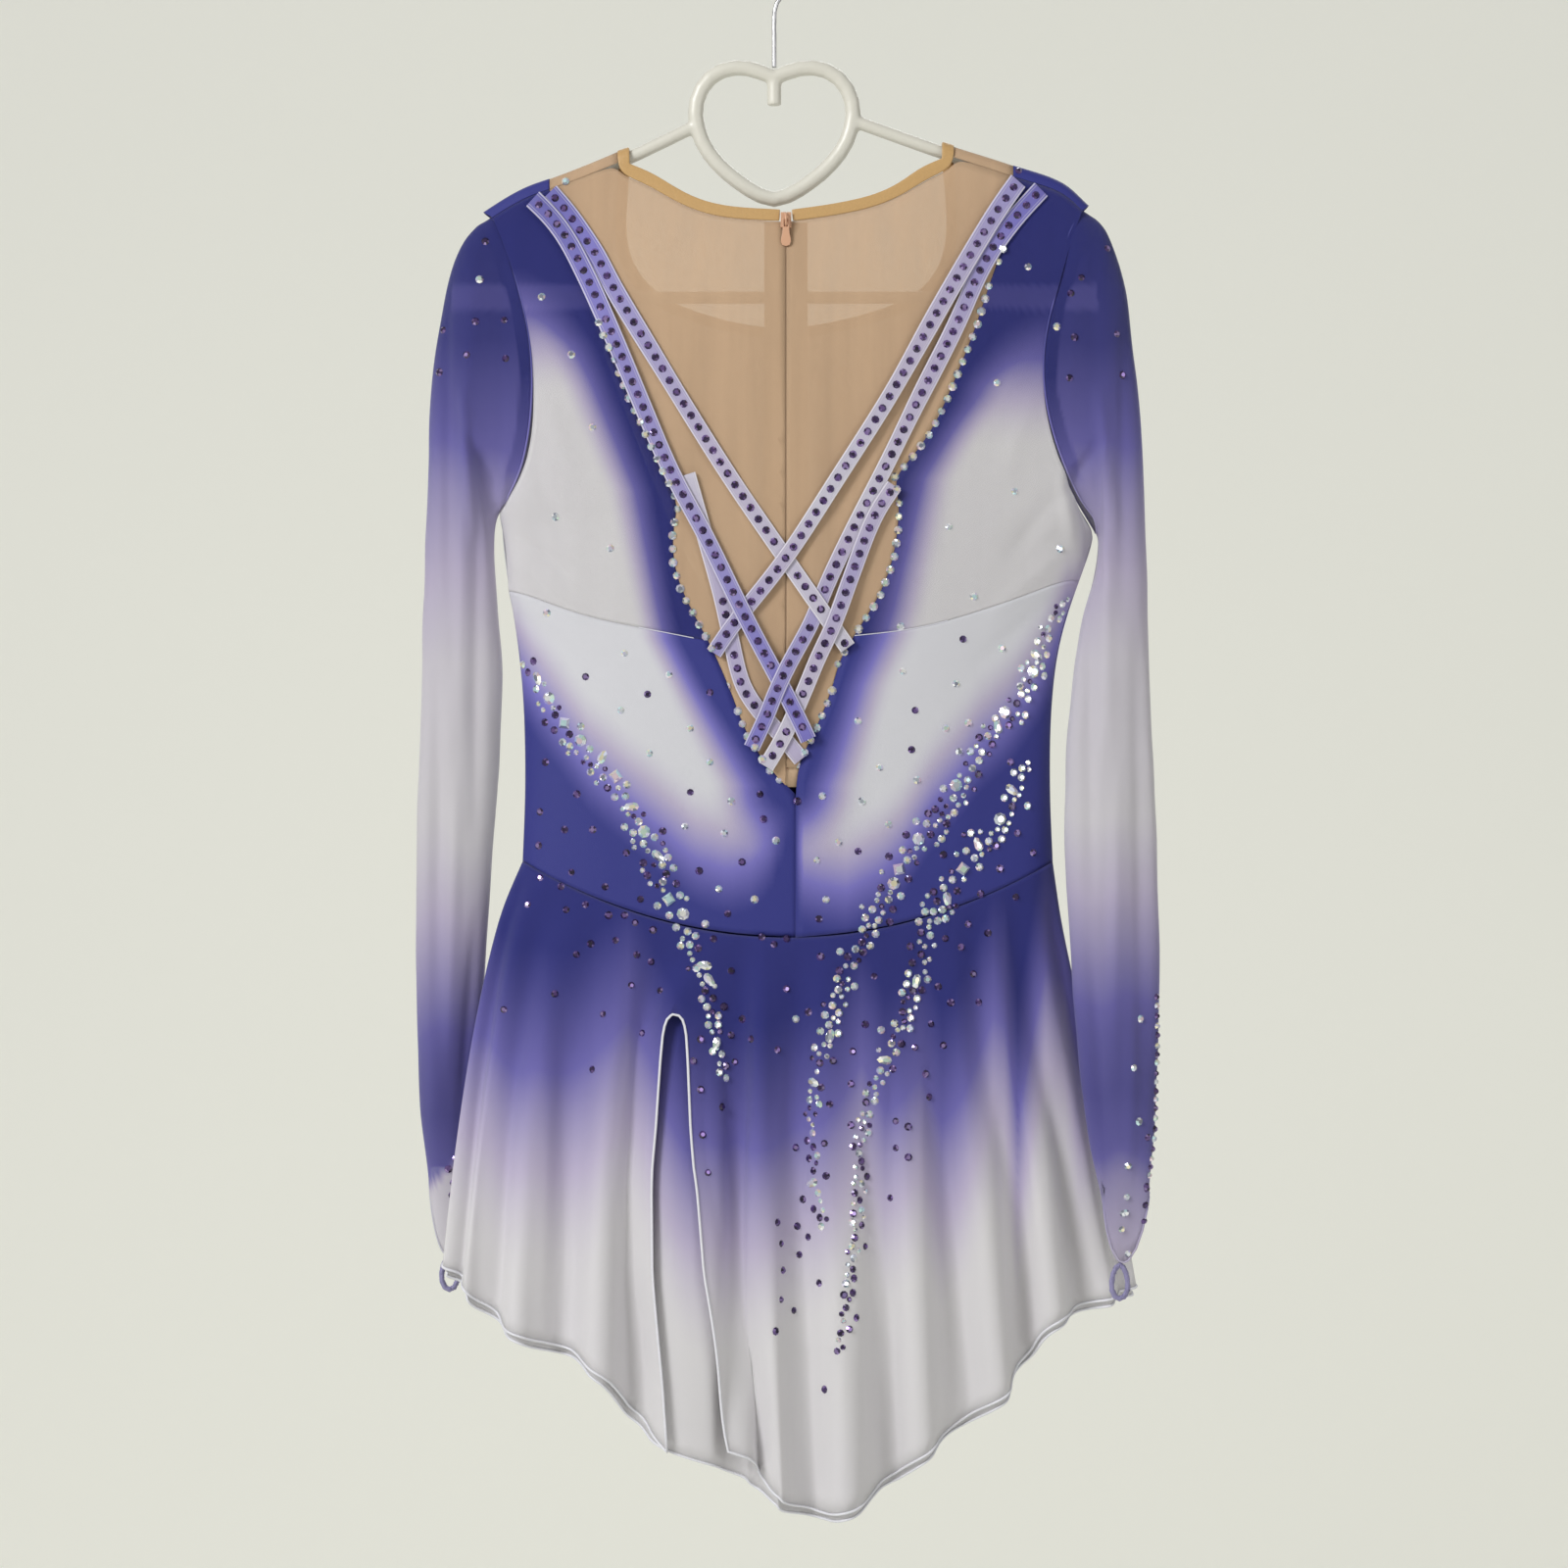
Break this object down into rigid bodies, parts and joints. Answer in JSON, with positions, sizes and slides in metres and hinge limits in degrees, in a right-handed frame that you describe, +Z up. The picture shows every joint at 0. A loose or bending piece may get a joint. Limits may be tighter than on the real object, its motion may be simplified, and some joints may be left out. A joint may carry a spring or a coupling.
{
  "type": "figure skating dress on a hanger",
  "caption": "Long-sleeved figure skating dress with a strapped keyhole back and a high-low skirt, hanging on a heart-shaped hanger.",
  "frame": {"origin": "inside top of the hanger's hook, where a rail bears", "axes": "+Z up; the dress's back faces -Y, towards the viewer, and its front faces +Y; +X is to the viewer's right"},
  "size_m": [0.422, 0.0998, 0.9007],
  "materials": {
    "blue_cloth": "soft sheen, ombre from blue to off-white",
    "violet_cloth": "sheer, ombre",
    "pale_skirt": "sheer, ombre",
    "nude_mesh": "sheer",
    "binding": "satin",
    "plastic": "satin",
    "steel": "bright"
  },
  "bodies": {
    "dress": {"hanger_frame": "plastic", "hanger_hook": "steel", "back_upper_left": "blue_cloth", "back_upper_right": "blue_cloth", "back_lower_left": "blue_cloth", "back_lower_right": "blue_cloth", "back_mesh_left": "nude_mesh", "back_mesh_right": "nude_mesh", "front_yoke": "nude_mesh", "front_bodice": "blue_cloth", "neck_binding": "binding", "sleeve_left": "violet_cloth", "sleeve_right": "violet_cloth", "thumb_loop_left": "violet_cloth", "thumb_loop_right": "violet_cloth", "zip_tape": "nude_mesh", "zip_slider": "steel", "strap_left_1": "violet_cloth", "strap_left_2": "violet_cloth", "strap_left_3": "violet_cloth", "strap_right_1": "violet_cloth", "strap_right_2": "violet_cloth", "strap_right_3": "violet_cloth", "skirt_outer": "pale_skirt", "skirt_under": "pale_skirt"},
    "zip_pull": {"zip_pull": "steel"}
  },
  "joints": [
    {"name": "zip_pull_swing", "type": "hinge", "parent": "dress", "child": "zip_pull", "pos_m": [0.0066, -0.01558, -0.16941], "axis": [-1, 0, 0], "range_deg": [0, 170]}
  ]
}
